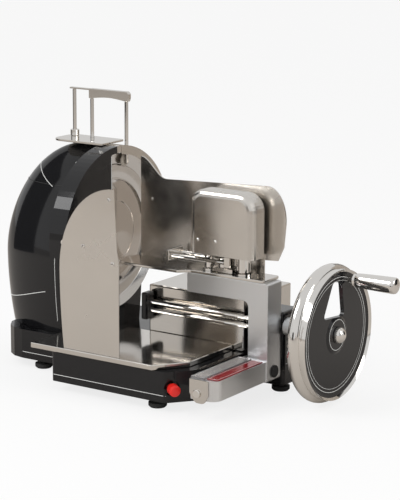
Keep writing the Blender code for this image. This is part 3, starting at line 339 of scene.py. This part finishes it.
def flywheel():
    """Rounded rim, painted rings and domed hub cap."""
    face, back = rim_high.x, rim_low.x
    radius = (rim_high.z - rim_low.z) / 2
    disc = radius - DISC_MARGIN
    centre = (WHEEL_AXIS.y, WHEEL_AXIS.z)
    crown = []
    for k in range(13):
        angle = math.pi * k / 12
        middle = back + 0.5 * (face - back - 0.010)
        crown.append((middle - 0.5 * (face - back - 0.014) * math.cos(angle),
                      radius - RIM_ROUND + RIM_ROUND * math.sin(angle)))
    profile = [(back + 0.0010, disc - 0.006)] + crown + [
        (face - 0.004, radius - 0.0125), (face - 0.0015, radius - 0.0090), (face - 0.0004, radius - 0.0078),
        (face - 0.0030, disc + 0.0004), (face - 0.022, disc + 0.0004)]
    piece("rim_polished", lathe(profile, centre, FINE), RIM, "flywheel", ("flywheel_rim",))
    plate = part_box("flywheel_disc")[1].x
    for name, at, width in (("outer", 0.1045, 0.0008), ("inner", 0.0985, 0.0005), ("hub", 0.0275, 0.0007)):
        depth = plate if name == "hub" else plate - 0.002
        line = lathe([(depth + 0.00002, at), (depth + 0.00002, at + width), (depth + 0.0003, at + width),
                      (depth + 0.0003, at)], centre, FINE)
        piece("disc_stripe_" + name, line, WHITE, "flywheel")
    low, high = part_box("flywheel_hub_cap")
    cap_radius = (high.z - low.z) / 2
    cap = [(low.x, 0), (low.x, cap_radius), (low.x + 0.003, cap_radius)]
    for k in range(1, 13):
        angle = math.pi / 2 * k / 12
        cap.append((low.x + 0.003 + (high.x - low.x - 0.003) * math.sin(angle), cap_radius * math.cos(angle)))
    cap[-1] = (high.x, 0)
    piece("hub_cap_domed", lathe(cap, centre, MEDIUM), CHROME, "flywheel", ("flywheel_hub_cap",))


def handle():
    """Waisted grip; its outline is in shares of its length and radius."""
    low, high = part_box("flywheel_handle")
    centre = ((low.y + high.y) / 2, (low.z + high.z) / 2)
    full = (high.z - low.z) / 2
    length = high.x - low.x
    pin = 0.0053
    outline = [(0, 0.60), (0.012, 0.74), (0.035, 0.80), (0.055, 0.74), (0.075, 0.70), (0.105, 0.84),
               (0.22, 0.89), (0.40, 0.93), (0.60, 0.965), (0.78, 0.99), (0.90, 1.0), (0.955, 0.99),
               (0.985, 0.93), (1.0, 0.80)]
    profile = [(low.x, pin)] + [(low.x + length * t, full * r) for t, r in outline]
    profile += [(high.x, 0), (high.x - 0.0050, 0), (high.x - 0.0050, pin)]
    piece("grip_polished", lathe(profile, centre, MEDIUM), CHROME, "handle",
          ("flywheel_handle",), 50)


def blade():
    """Blade with its ground bevel, and the stepped cover plate on it."""
    centre = (BLADE_AXIS.y, BLADE_AXIS.z)
    radius = (blade_high.z - blade_low.z) / 2
    face = blade_high.x - 0.0005
    back = blade_low.x + 0.012
    profile = [(blade_low.x, 0.0125), (blade_low.x, 0.030), (back, 0.030), (back, radius - 0.004),
               (face + 0.0004, radius), (face, radius - 0.0008), (face - 0.0024, radius - 0.0195),
               (face - 0.0030, radius - 0.0205), (face - 0.0018, radius - 0.022), (face - 0.0016, 0.104),
               (face - 0.0021, 0.103), (face - 0.0016, 0.102), (face - 0.0016, 0.0125)]
    piece("blade_ground", lathe(profile, centre, FINE), BLADE, "cutter", ("blade",))
    low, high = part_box("blade_cover")
    cover_radius = (high.z - low.z) / 2
    step = [(low.x, 0), (low.x, cover_radius), (low.x + 0.002, cover_radius),
            (low.x + 0.0030, cover_radius - 0.001), (low.x + 0.0056, cover_radius - 0.012),
            (high.x - 0.0004, cover_radius - 0.0145), (high.x, cover_radius - 0.017),
            (high.x, cover_radius - 0.040), (high.x - 0.0008, cover_radius - 0.041),
            (high.x - 0.0008, 0.020), (high.x - 0.0002, 0.018), (high.x - 0.0002, 0)]
    piece("blade_cover_turned", lathe(step, centre, FINE), COVER, "cutter",
          ("blade_cover",))


def hood_lines():
    """White line down the hood's upright edge, and a screw in the seat above it."""
    low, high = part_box("blade_hood")
    edge_y = BLADE_AXIS.y - 0.022
    face = high.x - 0.0007
    line = [(face, edge_y - 0.0012, 0.356 + 0.064 * k / 12) for k in range(13)]
    stripe("hood_edge_stripe", line, "machine", THIN_STRIPE)
    seat_low, seat_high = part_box("sharpener_seat")
    place = Vector(((seat_low.x * 0.25 + seat_high.x * 0.75), seat_low.y + 0.012, seat_high.z))
    screw("seat_screw", place, "z", 0.0040, "machine", 0.0012, 0.4)


def screw(name, place, axis, radius, body, height, turn, sign=1):
    """A low domed screw head with a dark box of painted shade for its slot."""
    order = AXIS_ORDER[axis]
    centre = (place[order[0]], place[order[1]])
    base = place[order[2]]
    profile = [(base, 0), (base, radius), (base + sign * height * 0.5, radius * 0.92),
               (base + sign * height, radius * 0.6), (base + sign * height, 0)]
    piece(name, lathe(profile, centre, SMALL, axis), CHROME, body)
    slot(name + "_slot", place, axis, radius, body, sign * height, turn)


def slot(name, place, axis, radius, body, top, turn):
    """A dark box across a screw head whose face is at top above place; its colour is painted shade for the
    slot.
    """
    order = AXIS_ORDER[axis]
    mesh = bmesh.new()
    bmesh.ops.create_cube(mesh, size=1.0)
    half_length, half_width, depth = radius * 0.62, radius * 0.11, 0.0003
    for v in mesh.verts:
        a, b, c = v.co.x * 2 * half_length, v.co.y * 2 * half_width, v.co.z * depth
        x = a * math.cos(turn) - b * math.sin(turn)
        y = a * math.sin(turn) + b * math.cos(turn)
        values = [0.0, 0.0, 0.0]
        values[order[0]] = place[order[0]] + x
        values[order[1]] = place[order[1]] + y
        values[order[2]] = place[order[2]] + top + c
        v.co = values
    piece(name, mesh, SLOT_AND_GROOVE_SHADE, body)


def small_fasteners():
    """Dark boxes of painted shade for the slots in the guard's and bracket's screws; rivets of the clamp
    cover; the fence's screw.
    """
    for k, node in enumerate(("guard_screw_left", "guard_screw_right", "guard_screw_top")):
        low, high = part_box(node)
        middle = (low + high) / 2
        slot(node + "_slot", (middle.x, low.y, middle.z), "y", (high.x - low.x) / 2, "machine", 0.0, 0.5 + k)
    low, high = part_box("bracket_screw")
    middle = (low + high) / 2
    place = (middle.x, low.y + 0.0003, middle.z)
    slot("bracket_screw_slot", place, "y", (high.x - low.x) / 2, "carriage", 0.0, 0.8)
    low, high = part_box("clamp_cover")
    for name, share in (("left", 0.14), ("right", 0.42)):
        place = (low.x + (high.x - low.x) * share, low.y, low.z + 0.026)
        profile = [(place[1] + 0.0002, 0), (place[1] + 0.0002, 0.0036), (place[1] - 0.0008, 0.0030),
                   (place[1] - 0.0016, 0.0016), (place[1] - 0.0018, 0)]
        rivet = lathe(profile, (place[2], place[0]), SMALL, "y")
        piece("clamp_rivet_" + name, rivet, CHROME, "clamp")
    low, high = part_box("fence_plate")
    screw("fence_screw", Vector((low.x + 0.026, low.y, 0.335)), "y", 0.0030, "carriage", 0.0010, 0.3, -1)


def base_lines():
    """Pinstripes along the front block, the left end and the bearing column."""
    low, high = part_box("base_casting")
    z = 0.031
    front = [(low.x + 0.209, low.y, z), (low.x + 0.455, low.y, z), (low.x + 0.461, low.y + 0.0025, z)]
    stripe("block_stripe", [(x, y - STRIPE_LIFT, h) for x, y, h in front], "machine", THIN_STRIPE)
    side_y = low.y + 0.090
    side = [(low.x + 0.062 + 0.130 * k / 6, side_y - STRIPE_LIFT, z) for k in range(7)]
    stripe("side_stripe", side, "machine", THIN_STRIPE)
    low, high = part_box("bearing_column")
    run = high.y - low.y - 0.016
    column = [(high.x, low.y + 0.008 + run * k / 4, 0.060) for k in range(5)]
    stripe("column_stripe", column, "machine", THIN_STRIPE)


def plate_frame():
    """A fine raised border round the bare red plate."""
    low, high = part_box("warning_plate")
    inset, z = 0.0022, high.z
    ring = [(low.x + inset, low.y + inset, z), (high.x - inset, low.y + inset, z),
            (high.x - inset, high.y - inset, z), (low.x + inset, high.y - inset, z)]
    stripe("plate_border", ring, "carriage", 0.0003, WHITE, True)


def backdrop():
    """Pale floor: near white to the camera, darker and warmer in reflections."""
    mesh = bmesh.new()
    bmesh.ops.create_grid(mesh, x_segments=1, y_segments=1, size=FLOOR_HALF_WIDTH)
    data = bpy.data.meshes.new("studio_floor")
    mesh.to_mesh(data)
    mesh.free()
    floor = bpy.data.objects.new("studio_floor", data)
    scene.collection.objects.link(floor)
    floor.location.z = -FLOOR_DROP
    paper = bpy.data.materials.new("studio_paper")
    paper.use_nodes = True
    shader = paper.node_tree.nodes["Principled BSDF"]
    shader.inputs["Roughness"].default_value = 0.8
    shader.inputs["Specular IOR Level"].default_value = 0.1
    nodes, links = paper.node_tree.nodes, paper.node_tree.links
    glow = nodes.new("ShaderNodeEmission")
    rays = nodes.new("ShaderNodeLightPath")
    share = nodes.new("ShaderNodeMath")
    share.operation = "MULTIPLY"
    share.inputs[1].default_value = PAPER_GLOW
    mixed = nodes.new("ShaderNodeMixShader")
    links.new(rays.outputs["Is Camera Ray"], share.inputs[0])
    tone = nodes.new("ShaderNodeMix")
    tone.data_type = "RGBA"
    tone.inputs["A"].default_value = PAPER
    tone.inputs["B"].default_value = PAPER_IN_MIRRORS
    links.new(rays.outputs["Is Glossy Ray"], tone.inputs["Factor"])
    links.new(tone.outputs["Result"], shader.inputs["Base Color"])
    links.new(share.outputs["Value"], mixed.inputs["Fac"])
    links.new(shader.outputs["BSDF"], mixed.inputs[1])
    links.new(glow.outputs["Emission"], mixed.inputs[2])
    links.new(mixed.outputs["Shader"], nodes["Material Output"].inputs["Surface"])
    data.materials.append(paper)


def card(name, place, size, turn, level):
    """An upright or slanted card that only shows in reflections."""
    mesh = bmesh.new()
    bmesh.ops.create_grid(mesh, x_segments=1, y_segments=1, size=0.5)
    data = bpy.data.meshes.new(name)
    mesh.to_mesh(data)
    mesh.free()
    made = bpy.data.objects.new(name, data)
    scene.collection.objects.link(made)
    made.location = place
    made.rotation_euler = [math.radians(v) for v in turn]
    made.scale = (size[0], size[1], 1)
    paint = bpy.data.materials.new(name + "_paint")
    paint.use_nodes = True
    shader = paint.node_tree.nodes["Principled BSDF"]
    shader.inputs["Base Color"].default_value = (*level, 1)
    shader.inputs["Roughness"].default_value = 0.9
    data.materials.append(paint)
    made.visible_camera = False
    made.visible_shadow = False
    made.visible_diffuse = False


def lamp(name, place, size, power, colour=(1, 1, 1)):
    data = bpy.data.lights.new(name, "AREA")
    data.shape = "RECTANGLE"
    data.size, data.size_y = size
    data.energy = power
    data.color = colour
    made = bpy.data.objects.new(name, data)
    scene.collection.objects.link(made)
    made.location = place
    made.rotation_euler = (Vector(LAMP_AIM) - Vector(place)).to_track_quat("-Z", "Y").to_euler()


def studio():
    world = bpy.data.worlds.new("studio")
    scene.world = world
    world.use_nodes = True
    nodes, links = world.node_tree.nodes, world.node_tree.links
    back = nodes["Background"]
    back.inputs["Color"].default_value = (1, 1, 1, 1)
    back.inputs["Strength"].default_value = WORLD_LEVEL
    seen = nodes.new("ShaderNodeBackground")
    seen.inputs["Color"].default_value = (1, 1, 1, 1)
    seen.inputs["Strength"].default_value = 1.0
    rays = nodes.new("ShaderNodeLightPath")
    mixed = nodes.new("ShaderNodeMixShader")
    links.new(rays.outputs["Is Camera Ray"], mixed.inputs["Fac"])
    links.new(back.outputs["Background"], mixed.inputs[1])
    links.new(seen.outputs["Background"], mixed.inputs[2])
    links.new(mixed.outputs["Shader"], nodes["World Output"].inputs["Surface"])
    lamp("key", (-1.3, -1.9, 2.2), (1.4, 1.4), 30)
    lamp("side", (2.6, 0.3, 1.6), (0.9, 1.6), 16, (1.0, 0.97, 0.93))
    card("dark_left", (-2.2, -0.9, 0.9), (1.7, 2.2), (90, 0, 70), (0.015, 0.015, 0.017))
    card("dark_front", (0.1, -3.4, 0.25), (1.3, 0.9), (90, 0, 0), (0.03, 0.028, 0.026))
    card("dark_right", (3.1, -1.2, 0.9), (0.8, 2.6), (90, 0, -70), (0.02, 0.02, 0.02))
    card("warm_right", (2.2, -2.6, 0.15), (0.5, 0.7), (90, 0, -30), (0.42, 0.17, 0.06))
    card("dark_back", (0.4, 2.4, 0.8), (1.6, 1.1), (90, 0, 0), (0.05, 0.045, 0.04))
    card("beige_back", (0.40, 1.10, 0.15), (0.85, 1.3), (90, 0, -35), (0.46, 0.41, 0.36))
    card("dark_wheel", (1.22, 1.22, 0.15), (0.80, 1.3), (90, 0, -35), (0.012, 0.012, 0.012))
    card("brown_left", (-0.62, -1.5, 0.10), (0.10, 1.2), (90, 0, 35), (0.16, 0.07, 0.035))
    card("brown_middle", (-0.86, -1.32, 0.10), (0.16, 1.2), (90, 0, 35), (0.30, 0.22, 0.16))


def camera():
    data = bpy.data.cameras.new("photo_camera")
    data.sensor_width = SENSOR
    data.lens = LENS
    data.clip_end = 60
    made = bpy.data.objects.new("photo_camera", data)
    scene.collection.objects.link(made)
    turn = (Matrix.Rotation(math.radians(CAMERA_AZIMUTH), 4, "Z")
            @ Matrix.Rotation(math.radians(90 - CAMERA_ELEVATION), 4, "X")
            @ Matrix.Rotation(math.radians(CAMERA_ROLL), 4, "Z"))
    made.matrix_world = Matrix.Translation(CAMERA_PLACE) @ turn
    scene.camera = made


dress_solids()
cover()
flywheel()
handle()
blade()
hood_lines()
small_fasteners()
base_lines()
plate_frame()
backdrop()
studio()
camera()
scene.view_settings.view_transform = "Standard"
